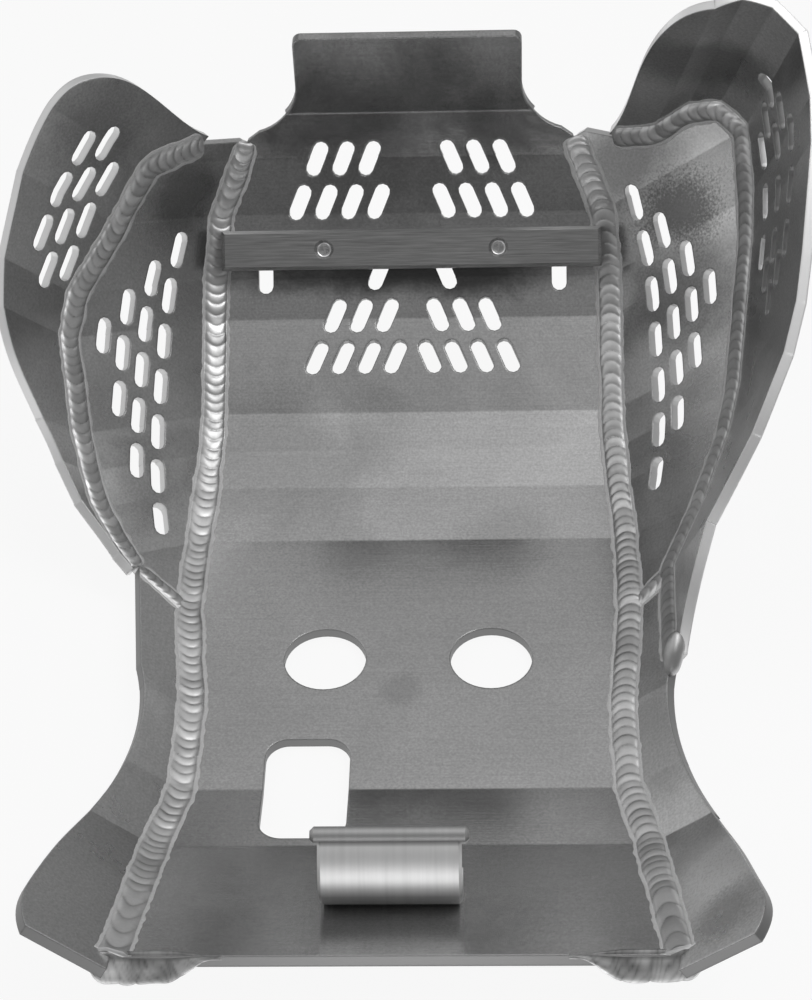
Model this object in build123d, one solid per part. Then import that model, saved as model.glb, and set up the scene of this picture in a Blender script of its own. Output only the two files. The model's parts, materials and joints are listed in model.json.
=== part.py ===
from build123d import *
import os
from math import atan2, cos, degrees, radians, sin, tan

# Motorcycle skid plate: a scoop welded up from folded aluminium plate.
# Millimetres and degrees. X to the right, Y to the front of the motorcycle, Z up.
# The origin is the middle of the floor's underside.

# Plate stock and weld sizes
plate = 4.76
root_gap = 1.0
pan_bead = 5.6
pan_bead_lift = 1.2
wing_bead = 4.3
flare_bead = 4.2
bead_sides = 8

# Pan: lengths on its inner face from the rear lip to the front tab, and the bends between them
lip_length = 85.0
lip_rise = 22.0
ramp_length = 36.5
ramp_rise = 11.0
floor_length = 151.0
front_lengths = [31.6, 20.4, 19.8, 47.2, 20.2, 31.0, 27.0, 22.0]
front_bend = 8.5
tab_length = 42.6
tab_bend = 23.0

# Pan: half widths at the rear edge, at the bends and at the waist and belly of the floor
rear_half_width = 108.0
lip_half_width = 102.0
ramp_half_width = 95.2
waist_half_width = 94.5
waist_from_ramp = 45.5
belly_half_width = 100.5
belly_from_ramp = 106.0
front_half_widths = [100.0, 98.2, 97.0, 96.4, 96.4, 96.2, 93.0, 82.4]
panel_front = 9.4
panel_front_half_width = 79.0
shoulder_front = 13.3
shoulder_half_width = 73.0
tab_half_width = 54.0
tab_straight = 27.0
tab_corner = 4.0

# Holes in the pan
drain_diameter = 36.5
drain_offset = 37.0
access_length = 60.0
access_width = 36.5
access_corner = 10.0
access_offset = 42.0
access_behind_ramp = 1.8

# Vent slots
slot_length = 17.8
slot_width = 7.2
slot_end_steps = 5
slot_pitch = 12.7
slot_row = 20.9
slot_lean = 8.8
lower_vent_from_bend = 27.9
lower_vent_first = 8.3
upper_vent_from_bend = 5.8
upper_vent_first = 15.9
mount_slot_from_bend = 1.5
mount_slot_offset = 71.4

# Side panels: height over the pan's edge at each bend from the front, and the fold direction
left_panel_fold = (-0.748, -0.565, 0.348)
right_panel_fold = (0.745, -0.160, 0.647)
left_panel_heights = [25.0, 52.5, 59.5, 80.0, 84.0, 75.5, 69.0, 60.0, 40.0]
left_panel_tail = 8.0
left_panel_tail_height = 33.0
right_panel_front = 6.0
right_panel_nose = [(0.0, 20.0), (8.4, 40.0), (7.4, 60.0), (13.4, 77.0)]
right_panel_heights = [85.0, 84.0, 83.0, 76.0, 72.0, 63.5, 44.0]
right_panel_tail = 32.0
right_panel_tail_height = 23.5
vent_pitch = 22.7
vent_column = 11.0
vent_stagger = 16.8
left_vent = (52.5, 34.5)
left_vent_turn = 19.3
right_vent = (42.5, 9.8)
right_vent_turn = -10.3

# Wings: fold direction and the rim as (along, up) from the lower front corner of the blank
left_wing_fold = (-0.530, -0.390, 0.755)
left_rim = [(-4, 0), (-6, 45), (-2, 73), (9, 86), (25, 89.5), (61, 84.5), (106, 74.5),
            (132, 64), (166, 36), (196, 18.5), (217, 5), (228, 1)]
right_wing_fold = (0.210, -0.393, 0.895)
right_rim = [(-2, 0), (-2, 55), (1, 92), (9, 110), (22, 120), (45, 121.5), (80, 115), (140, 99),
             (198, 80), (237, 63), (262, 45), (286, 26), (300, 19), (315, 15)]
wing_vent_pitch = 21.6
wing_vent_column = 10.8
wing_vent_stagger = 7.3
left_wing_vent = (23.6, 51.0)
diamond_pitch = 23.7
diamond_column = 9.0
right_wing_vent = (59.3, 77.0)
right_wing_vent_turn = -17.5

# Rear flares: fold direction and height over the pan's edge, by distance from the flare's front
left_flare_fold = (-0.838, 0.208, 0.504)
right_flare_fold = (0.766, 0.000, 0.643)
flare_knee = 47.0
flare_knee_height = 26.0
flare_rim = [(102, 26.5), (140, 31), (171, 37), (199, 40.5), (217, 41.0)]
flare_end_height = 35.0
flare_overhang = 9.0

# Cross bar with two blind tapped holes
bar_width = 19.05
bar_depth = 12.7
bar_length = 183.0
bar_from_bend = 13.5
bar_chamfer = 1.6
bar_hole_spacing = 84.0
tap_drill = 6.8
tap_depth = 9.0
tap_mouth = 9.4
drill_point = 118.0

# Rear hook
hook_bore = 27.5
hook_wall = 4.76
hook_length = 56.0
hook_on_lip = 41.5
hook_offset = -2.5
hook_start = 100.0
hook_end = 290.0
hook_flat = 0.4
hook_lip = 7.0
hook_lip_overhang = 3.0
hook_lip_chamfer = 1.6
hook_chamfer = 1.2
hook_fillet_run = 11.5
hook_fillet_crest = (5.5, 7.8)
hook_fillet_inset = 4.0

# Rear corner welds: section back and up from the pan's rear inner edge, and runs along that edge
corner_section = [(0.0, 0.4), (-8.0, -8.5), (-3.6, -9.6), (2.0, -5.2)]
corner_reach = 1.5
corner_run = 30.0
corner_taper = 19.0
corner_end_scale = 0.35


class Folds:
    """A sheet folded on parallel lines: corner points along its inner face, and the fold direction.

    Flat positions are (along, up): along the folded sheet from its first corner, and up the fold
    direction from that corner. The sheet's thickness lies on the outer side.
    """

    def __init__(self, corners, ruling, side):
        self.corners = corners
        self.ruling = Vector(*ruling).normalized()
        self.along = [0.0]
        self.ups = [(c - corners[0]).dot(self.ruling) for c in corners]
        self.runs = []
        for a, b in zip(corners, corners[1:]):
            step = b - a
            step = step - self.ruling * step.dot(self.ruling)
            self.along.append(self.along[-1] + step.length)
            self.runs.append(step.normalized())
        self.tops = [run.cross(self.ruling) for run in self.runs]
        self.outs = [top * side for top in self.tops]

    def facet(self, along):
        inner = [k for k in range(1, len(self.runs)) if self.along[k] <= along]
        return inner[-1] if inner else 0

    def origin(self, k):
        return self.corners[k] - self.runs[k] * self.along[k] - self.ruling * self.ups[k]

    def point(self, along, up):
        k = self.facet(along)
        return self.origin(k) + self.runs[k] * along + self.ruling * up

    def flat(self, point, k=0):
        step = point - self.origin(k)
        return step.dot(self.runs[k]), step.dot(self.ruling)

    def edge_up(self, along):
        k = self.facet(along)
        share = (along - self.along[k]) / (self.along[k + 1] - self.along[k])
        return self.ups[k] + share * (self.ups[k + 1] - self.ups[k])

    def crease(self, k):
        """The step from inner to outer face at corner k, where two facets are mitred."""
        if k == 0:
            return self.outs[0] * plate
        if k == len(self.runs):
            return self.outs[-1] * plate
        a = self.outs[k - 1]
        b = self.outs[k]
        return (a + b) * (plate / (1 + a.dot(b)))

    def fold(self, blank):
        """Fold the flat blank: one slab per facet, mitred to its neighbours."""
        box = blank.bounding_box()
        margin = 2 * plate
        low = box.min.Y - margin
        height = box.size.Y + 2 * margin
        last = len(self.runs) - 1
        sheet = Part()
        for k, run in enumerate(self.runs):
            start = self.along[k]
            stop = self.along[k + 1]
            near = self.origin(k) + run * start + self.ruling * low
            far = self.origin(k) + run * stop + self.ruling * low
            near_out = near + self.crease(k)
            far_out = far + self.crease(k + 1)
            if k == 0:
                reach = start - box.min.X + margin
                near = near - run * reach
                near_out = near_out - run * reach
            if k == last:
                reach = box.max.X - stop + margin
                far = far + run * reach
                far_out = far_out + run * reach
            slab = extrude(Face(Wire.make_polygon([near, far, far_out, near_out])),
                           amount=height, dir=self.ruling)
            left = box.min.X - margin if k == 0 else start - plate
            right = box.max.X + margin if k == last else stop + plate
            strip = blank & (Pos((left + right) / 2, low + height / 2) * Rectangle(right - left, height))
            plane = Plane(self.origin(k), x_dir=run, z_dir=self.tops[k])
            sheet = sheet + (slab & extrude(plane * strip, amount=plate, dir=self.outs[k]))
        return sheet


def polygon(points):
    return make_face(Polyline(*points, close=True))


def slot_at(along, up, turn):
    """A vent slot; its half-round ends are drawn in a few straight steps."""
    radius = slot_width / 2
    reach = slot_length / 2 - radius
    points = []
    for end in (-1, 1):
        for step in range(slot_end_steps + 1):
            angle = radians(90 - 180 * step / slot_end_steps)
            points.append((end * (reach + radius * cos(angle)), end * radius * sin(angle)))
    return Pos(along, up) * Rot(0, 0, turn) * polygon(points)


def largest(shape):
    return max(shape.solids(), key=lambda solid: solid.volume)


def pan_profile():
    """Inner-face corners of the pan in the plane X = 0, from the rear edge to the top of the tab."""
    half_floor = floor_length / 2
    ramp = Vector(0, -half_floor, plate)
    lip = ramp + Vector(0, -cos(radians(ramp_rise)), sin(radians(ramp_rise))) * ramp_length
    rear = lip + Vector(0, -cos(radians(lip_rise)), sin(radians(lip_rise))) * lip_length
    corners = [rear, lip, ramp, Vector(0, half_floor, plate)]
    tilt = 0.0
    for length in front_lengths:
        tilt += front_bend
        corners.append(corners[-1] + Vector(0, cos(radians(tilt)), sin(radians(tilt))) * length)
    tilt += tab_bend
    corners.append(corners[-1] + Vector(0, cos(radians(tilt)), sin(radians(tilt))) * tab_length)
    return corners


pan_folds = Folds(pan_profile(), (1, 0, 0), 1)
lip_at, ramp_at = pan_folds.along[1:3]
front_at = pan_folds.along[3:-2]
top_at = pan_folds.along[-1]
belly_at = ramp_at + belly_from_ramp
panel_front_at = front_at[-1] + panel_front

# Half widths along the pan, from the rear edge to the front end of the side panels
pan_edge = [(0.0, rear_half_width), (lip_at, lip_half_width), (ramp_at, ramp_half_width),
            (ramp_at + waist_from_ramp, waist_half_width), (belly_at, belly_half_width)]
pan_edge += list(zip(front_at, front_half_widths))
pan_edge += [(panel_front_at, panel_front_half_width)]


def edge_corners(first, last, hand, lift=0.0):
    """Points on the pan's edge between two stations, from front to rear, lifted off its inner face."""
    corners = []
    for along, half in reversed(pan_edge):
        if first <= along <= last:
            up = pan_folds.outs[pan_folds.facet(along)] * -lift
            corners.append(pan_folds.point(along, hand * half) + up)
    return corners


left_panel_folds = Folds(edge_corners(belly_at, panel_front_at, -1), left_panel_fold, 1)
right_panel_folds = Folds(edge_corners(belly_at, panel_front_at, 1), right_panel_fold, -1)
left_flare_folds = Folds(edge_corners(0.0, belly_at, -1), left_flare_fold, 1)
right_flare_folds = Folds(edge_corners(0.0, belly_at, 1), right_flare_fold, -1)


def over_edge(folds, along, height):
    return along, folds.edge_up(along) + height


# Contours where the wings meet the side panels, as flat positions on the panels
left_contour = [over_edge(left_panel_folds, along, height)
                for along, height in zip(left_panel_folds.along, left_panel_heights)]
left_contour.append(over_edge(left_panel_folds, left_panel_folds.along[-2] + left_panel_tail,
                              left_panel_tail_height))
nose_at = right_panel_folds.along[1]
right_contour = [over_edge(right_panel_folds, 0.0, right_panel_front)]
right_contour += [over_edge(right_panel_folds, nose_at + along, height)
                  for along, height in right_panel_nose]
right_contour += [over_edge(right_panel_folds, along, height)
                  for along, height in zip(right_panel_folds.along[2:], right_panel_heights)]
right_contour.append(over_edge(right_panel_folds, right_panel_folds.along[-2] + right_panel_tail,
                               right_panel_tail_height))

left_wing_corners = [left_panel_folds.point(*spot) for spot in left_contour]
right_wing_corners = [right_panel_folds.point(*spot) for spot in right_contour[1:]]
wing_tail = over_edge(right_flare_folds, flare_knee, flare_knee_height)
right_wing_corners.append(right_flare_folds.point(*wing_tail))
left_wing_folds = Folds(left_wing_corners, left_wing_fold, 1)
right_wing_folds = Folds(right_wing_corners, right_wing_fold, -1)


def pan_vents():
    """Two groups of leaning slots on each side of the centre line, and two upright mount slots."""
    vents = []
    groups = [(front_at[4] - front_lengths[3] + lower_vent_from_bend, lower_vent_first, [4, 3, 1]),
              (front_at[6] + upper_vent_from_bend, upper_vent_first, [4, 3])]
    turn = degrees(atan2(slot_lean, slot_row))
    for hand in (-1, 1):
        for along, first, counts in groups:
            for row, count in enumerate(counts):
                for k in range(count):
                    across = first + slot_pitch * (k + row) - slot_lean * row
                    vents.append(slot_at(along + slot_row * row, hand * across, -hand * turn))
        vents.append(slot_at(front_at[5] + mount_slot_from_bend, hand * mount_slot_offset, 0))
    return vents


def make_pan():
    gap = root_gap / 2
    edge = [(along, half - gap) for along, half in pan_edge]
    shoulder = (front_at[-1] + shoulder_front, shoulder_half_width)
    tab_root = (top_at - tab_straight, tab_half_width)
    outline = Polyline((0, 0), *edge, shoulder)
    outline += TangentArc(tab_root, shoulder, tangent=(-1, 0))
    outline += Polyline(tab_root, (top_at, tab_half_width), (top_at, 0), (0, 0))
    half = make_face(outline)
    blank = half + mirror(half, about=Plane.XZ)
    corners = [v for v in blank.vertices() if v.X > top_at - tab_corner and abs(v.Y) > tab_corner]
    blank = fillet(corners, tab_corner)
    for hand in (-1, 1):
        blank -= Pos(ramp_at + floor_length / 2, hand * drain_offset) * Circle(drain_diameter / 2)
    access = RectangleRounded(access_length, access_width, access_corner)
    blank -= Pos(ramp_at - access_behind_ramp, -access_offset) * access
    blank -= pan_vents()
    return pan_folds.fold(blank)


def panel_vents(first, turn):
    """A triangle of slots in four columns, each two slots shorter than the one below it."""
    run = Vector(cos(radians(turn)), sin(radians(turn)))
    step = Vector(-run.Y, run.X)
    vents = []
    for column, count in enumerate((7, 5, 3, 1)):
        for k in range(count):
            spot = Vector(*first) + run * (k * vent_pitch + column * vent_stagger)
            spot = spot + step * (column * vent_column)
            vents.append(slot_at(spot.X, spot.Y, turn))
    return vents


def make_panel(folds, contour, vents):
    edge = list(zip(folds.along, folds.ups))
    start = contour[0][0]
    lower = [over_edge(folds, start, 0)] + [spot for spot in edge if spot[0] > start + root_gap]
    blank = polygon(lower + contour[::-1])
    blank = offset(blank, amount=-root_gap / 2, kind=Kind.INTERSECTION)
    return folds.fold(blank - vents)


def make_wing(folds, rim, vents):
    gap = root_gap / 2
    foot = [(along, up + gap) for along, up in zip(folds.along, folds.ups)]
    outline = Spline(*rim)
    outline += Polyline(rim[-1], *foot[::-1], rim[0])
    return folds.fold(make_face(outline) - vents)


def make_flare(folds, front_corner):
    gap = root_gap / 2
    foot = [(along, up + gap) for along, up in zip(folds.along, folds.ups)]
    foot[0] = (root_gap, foot[0][1])
    tip = (front_corner[0] + root_gap, front_corner[1] - gap)
    knee = over_edge(folds, flare_knee, flare_knee_height - gap)
    rear = (folds.along[-1] + flare_overhang, foot[-1][1])
    rim = [knee] + [over_edge(folds, along, height) for along, height in flare_rim]
    rim += [(rear[0], rear[1] + flare_end_height)]
    outline = Polyline(tip, *foot, rear, rim[-1])
    outline += Spline(*rim[::-1])
    outline += Line(knee, tip)
    return folds.fold(make_face(outline))


def left_wing_vents():
    vents = []
    for column, slots in ((1, range(0, 3)), (0, range(0, 4)), (-1, range(1, 4))):
        for k in slots:
            vents.append(slot_at(left_wing_vent[0] + wing_vent_pitch * k + wing_vent_stagger * column,
                                 left_wing_vent[1] + wing_vent_column * column, 0))
    return vents


def right_wing_vents():
    """A diamond of slots: five down the middle, three on each side, and four between."""
    run = Vector(cos(radians(right_wing_vent_turn)), sin(radians(right_wing_vent_turn)))
    step = Vector(-run.Y, run.X)
    places = [(k, 0) for k in range(5)]
    for side in (-1, 1):
        places += [(k, 2 * side) for k in (1, 2, 3)]
        places += [(k, side) for k in (0.5, 3.5)]
    vents = []
    for k, column in places:
        spot = Vector(*right_wing_vent) + run * (k * diamond_pitch) + step * (column * diamond_column)
        vents.append(slot_at(spot.X, spot.Y, right_wing_vent_turn))
    return vents


def facet_plane(along):
    """A plane on the pan's inner face: x to the right, y to the front, z to the engine side."""
    k = pan_folds.facet(along)
    return Plane(pan_folds.point(along, 0), x_dir=(1, 0, 0), z_dir=pan_folds.tops[k] * -1)


def make_bar():
    seat = facet_plane(front_at[5] + bar_from_bend)
    bar = Box(bar_length, bar_width, bar_depth, align=(Align.CENTER, Align.CENTER, Align.MIN))
    bar = chamfer(bar.edges().group_by(Axis.Z)[-1], bar_chamfer)
    point = tap_drill / 2 / tan(radians(drill_point / 2))
    mouth = (tap_mouth - tap_drill) / 2
    for hand in (-1, 1):
        hole = Pos(0, 0, -tap_depth / 2) * Cylinder(tap_drill / 2, tap_depth)
        hole += Pos(0, 0, -tap_depth - point / 2) * Cone(0.01, tap_drill / 2, point)
        hole += Pos(0, 0, -mouth / 2) * Cone(tap_drill / 2, tap_mouth / 2, mouth)
        bar -= Pos(hand * bar_hole_spacing / 2, 0, bar_depth) * hole
    return seat * bar


hook_radius = hook_bore / 2 + hook_wall
hook_seat = facet_plane(lip_at - hook_on_lip)
hook_centre = hook_seat.origin + hook_seat.z_dir * (hook_radius - hook_flat)
hook_plane = Plane(hook_centre + Vector(hook_offset, 0, 0), x_dir=(0, 1, 0), z_dir=(1, 0, 0))


def make_hook():
    """A rolled hook, open to the front, with a round bead on its free edge and a flat foot."""
    mid = hook_bore / 2 + hook_wall / 2
    sweep_angle = hook_end - hook_start
    arc = CenterArc((0, 0), mid, hook_start, sweep_angle)
    band = trace(arc, hook_wall)
    body = extrude(hook_plane * band, amount=hook_length / 2, both=True)
    rims = [e for e in body.edges().filter_by(GeomType.CIRCLE) if e.radius > mid]
    body = chamfer(rims, hook_chamfer)
    out = (hook_bore + hook_lip) / 2
    ring = Pos(out * cos(radians(hook_start)), out * sin(radians(hook_start))) * Circle(hook_lip / 2)
    bead = extrude(hook_plane * ring, amount=hook_length / 2 + hook_lip_overhang, both=True)
    body += chamfer(bead.edges().filter_by(GeomType.CIRCLE), hook_lip_chamfer)
    below = (Align.CENTER, Align.CENTER, Align.MAX)
    return body - hook_seat * Box(2 * hook_length, 4 * hook_radius, 2 * hook_radius, align=below)


def make_weld(points, radius, neighbours):
    """A weld bead along a joint, cut where it lies against the pieces it joins."""
    start = Plane(points[0], z_dir=points[1] - points[0])
    section = start * RegularPolygon(radius, bead_sides)
    bead = sweep(section, path=Polyline(*points), transition=Transition.RIGHT)
    for neighbour in neighbours:
        bead = bead - neighbour
    return largest(bead)


def corner_weld(hand, neighbours):
    """A weld filling the corner behind the pan's rear edge, thin at its inner end."""
    edge = pan_folds.point(0, 0)
    inner = rear_half_width - corner_run
    sections = []
    for half, scale in ((rear_half_width + corner_reach, 1.0), (inner, 1.0),
                        (inner - corner_taper, corner_end_scale)):
        plane = Plane((hand * half, edge.Y, edge.Z), x_dir=(0, 1, 0), z_dir=(1, 0, 0))
        sections.append(plane * polygon([(back * scale, up * scale) for back, up in corner_section]))
    bead = loft(sections, ruled=True)
    for neighbour in neighbours:
        bead = bead - neighbour
    return largest(bead)


def hook_fillet(hook):
    """The weld hidden in front of the hook, between its foot and the lip."""
    corner = polygon([(0, 0), (hook_fillet_run, 0), hook_fillet_crest])
    foot = hook_seat.origin + Vector(hook_offset, 0, 0)
    section = Plane(foot, x_dir=hook_seat.y_dir, z_dir=hook_seat.x_dir)
    fillet_length = hook_length - 2 * hook_fillet_inset
    return largest(extrude(section * corner, amount=fillet_length / 2, both=True) - hook)


def build():
    parts = {}
    pan = make_pan()
    bar = make_bar()
    hook = make_hook()
    parts["pan"] = pan
    parts["cross_bar"] = bar
    parts["rear_hook"] = hook
    parts["hook_weld"] = hook_fillet(hook)
    left_panel = make_panel(left_panel_folds, left_contour, panel_vents(left_vent, left_vent_turn))
    right_panel = make_panel(right_panel_folds, right_contour, panel_vents(right_vent, right_vent_turn))
    left_wing = make_wing(left_wing_folds, left_rim, left_wing_vents())
    right_wing = make_wing(right_wing_folds, right_rim, right_wing_vents())
    left_flare = make_flare(left_flare_folds, left_flare_folds.flat(left_wing_corners[-1]))
    right_flare = make_flare(right_flare_folds, right_flare_folds.flat(right_wing_corners[-2]))
    sides = [("left", -1, left_panel, left_wing, left_flare, left_wing_corners, left_wing_corners[-1]),
             ("right", 1, right_panel, right_wing, right_flare, right_wing_corners, right_wing_corners[-2])]
    for side, hand, panel, wing, flare, joint, tip in sides:
        edge = edge_corners(0.0, panel_front_at, hand, pan_bead_lift)
        belly = edge_corners(belly_at, belly_at, hand)[0]
        pan_weld = make_weld(edge, pan_bead, [pan, panel, flare, bar])
        wing_weld = make_weld(joint, wing_bead, [panel, wing, flare, pan_weld])
        flare_weld = make_weld([belly, tip], flare_bead, [pan, panel, wing, flare, pan_weld, wing_weld])
        parts[side + "_side_panel"] = panel
        parts[side + "_wing"] = wing
        parts[side + "_rear_flare"] = flare
        parts[side + "_pan_weld"] = pan_weld
        parts[side + "_wing_weld"] = wing_weld
        parts[side + "_flare_weld"] = flare_weld
        parts[side + "_corner_weld"] = corner_weld(hand, [pan, flare, pan_weld])
    return parts


os.makedirs("parts", exist_ok=True)
for name, shape in build().items():
    export_step(shape, "parts/" + name + ".step")
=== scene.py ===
import json
from collections import namedtuple
from math import cos, floor, pi, radians, sin

import bmesh
import bpy
from mathutils import Matrix, Vector, noise
from mathutils.bvhtree import BVHTree


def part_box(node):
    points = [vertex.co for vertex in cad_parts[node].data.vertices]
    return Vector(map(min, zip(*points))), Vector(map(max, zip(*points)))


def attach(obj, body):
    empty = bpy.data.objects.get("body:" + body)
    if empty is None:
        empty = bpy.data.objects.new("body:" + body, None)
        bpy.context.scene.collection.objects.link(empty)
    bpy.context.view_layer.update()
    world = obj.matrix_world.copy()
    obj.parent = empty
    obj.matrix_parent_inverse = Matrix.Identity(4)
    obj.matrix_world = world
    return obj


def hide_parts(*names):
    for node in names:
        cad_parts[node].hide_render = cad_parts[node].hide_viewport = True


# A skid plate welded up from folded aluminium plate, lying on a pale studio floor.
# Metres, in the part's own frame: X to the right, Y to the front, Z up.

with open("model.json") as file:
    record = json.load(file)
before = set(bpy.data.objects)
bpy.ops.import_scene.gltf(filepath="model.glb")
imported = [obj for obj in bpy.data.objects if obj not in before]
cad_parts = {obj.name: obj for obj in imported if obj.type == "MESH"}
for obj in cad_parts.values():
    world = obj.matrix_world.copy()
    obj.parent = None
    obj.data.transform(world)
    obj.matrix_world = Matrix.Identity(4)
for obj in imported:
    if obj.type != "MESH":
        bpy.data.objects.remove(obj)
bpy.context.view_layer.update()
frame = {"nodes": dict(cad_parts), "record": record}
nodes = frame["nodes"]
mounts = {mount["name"]: mount for mount in frame["record"]["mounts"]}
mm = 0.001


def linear(code):
    """An sRGB hex colour as linear RGBA."""
    channels = [int(code[k:k + 2], 16) / 255 for k in (1, 3, 5)]
    return [c / 12.92 if c <= 0.04045 else ((c + 0.055) / 1.055) ** 2.4 for c in channels] + [1.0]


def scale_of(size):
    """The texture scale at which a pattern's grains are this many millimetres across."""
    return 1 / (size * mm)


def add(tree, kind, settings=None, inputs=None, stops=()):
    """Add a node with its settings, link or set its inputs, and give a ramp its colour stops."""
    made = tree.nodes.new(kind)
    for name, value in (settings or {}).items():
        setattr(made, name, value)
    for name, value in (inputs or {}).items():
        if isinstance(value, bpy.types.NodeSocket):
            tree.links.new(value, made.inputs[name])
        else:
            made.inputs[name].default_value = value
    if stops:
        elements = made.color_ramp.elements
        elements.remove(elements[1])
        elements[0].position, elements[0].color = stops[0]
        for position, colour in stops[1:]:
            elements.new(position).color = colour
    return made


def new_material(name):
    """An empty node material and its tree."""
    material = bpy.data.materials.new(name)
    material.use_nodes = True
    material.node_tree.nodes.clear()
    return material, material.node_tree


def set_material(piece, material):
    piece.data.materials.clear()
    piece.data.materials.append(material)


def new_piece(name, mesh):
    """An object in the scene that shows a mesh."""
    piece = bpy.data.objects.new(name, mesh)
    bpy.context.scene.collection.objects.link(piece)
    return piece


# Camera: the view of the photograph, worked out for its frame

image_width = 812
image_height = 1000
focal_pixels = 2500.0
view_elevation = radians(43.3)
view_azimuth = radians(3.0)
view_roll = radians(-2.65)
view_distance = 1.115
view_target = Vector((-0.0005, -0.0010, 0.00476))
target_pixel = (407, 660)


def make_camera():
    """The photograph's camera, which shows a point of the pan's floor at a known pixel."""
    forward = Vector((-sin(view_azimuth) * cos(view_elevation),
                      cos(view_azimuth) * cos(view_elevation),
                      -sin(view_elevation)))
    level = Vector((cos(view_azimuth), sin(view_azimuth), 0))
    upright = level.cross(forward)
    right = level * cos(view_roll) + upright * sin(view_roll)
    up = upright * cos(view_roll) - level * sin(view_roll)
    ray = forward + right * ((target_pixel[0] - image_width / 2) / focal_pixels)
    ray -= up * ((target_pixel[1] - image_height / 2) / focal_pixels)
    place = view_target - ray.normalized() * view_distance
    data = bpy.data.cameras.new("camera")
    data.sensor_fit = "HORIZONTAL"
    data.sensor_width = 36.0
    data.lens = data.sensor_width * focal_pixels / image_width
    camera = bpy.data.objects.new("camera", data)
    bpy.context.scene.collection.objects.link(camera)
    turn = Matrix((right, up, -forward)).transposed().to_4x4()
    camera.matrix_world = Matrix.Translation(place) @ turn
    bpy.context.scene.camera = camera


# Plates

# Inner faces look towards the engine
engine_centre = Vector((0, 0.02, 0.28))

# The way each plate's folds run: faces square to it are cut edges
folds = {
    "pan": Vector((1, 0, 0)),
    "left_side_panel": Vector((-0.748, -0.565, 0.348)),
    "right_side_panel": Vector((0.745, -0.160, 0.647)),
    "left_wing": Vector((-0.530, -0.390, 0.755)),
    "right_wing": Vector((0.210, -0.393, 0.895)),
    "left_rear_flare": Vector((-0.838, 0.208, 0.504)),
    "right_rear_flare": Vector((0.766, 0.000, 0.643)),
}

# Plates that lie flat behind the front sweep, so that their steep faces there are hole walls and ends
lying_plates = ("pan", "left_rear_flare", "right_rear_flare")
sweep_start = 60 * mm
steep_rise = 0.6

# How far along the folds a normal points where a face starts to count as cut, and where it is cut
cut_start = 0.12
cut_full = 0.3

# Patterns of the rolled skin, in millimetres. Real rolling lines are 0.3 mm wide, and they are drawn at
# twice that width so that they show
rolling_line_length = 40
rolling_line_width = 0.625
smudge_size = 52.6
speck_size = 1.11
fold_radius = 1.2

# Roughness of the skin, from its cleanest to its most handled places, and of a sawn and sanded edge
satin = (0.16, 0.27)
dull = (0.24, 0.36)
sanded = 0.5

# One mark on a plate's inner face, in millimetres, mostly painted light, shade or reflection: a full
# patch out to its core, gone at its rim, both as shares of its reach. Smudges make the patch cloudy, and
# its grain says how far it is stippled
Mark = namedtuple("Mark", "centre reach tone strength grain", defaults=[0.1])
mark_core = 0.9
mark_rim = 1.6
mark_cloud = 1.2

# Skin and edge tones differ from plate to plate as painted light and shade: the right-hand plates' skins
# are lighter, and the cut edges of the pan and flares darker than the other plates' rims
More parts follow.
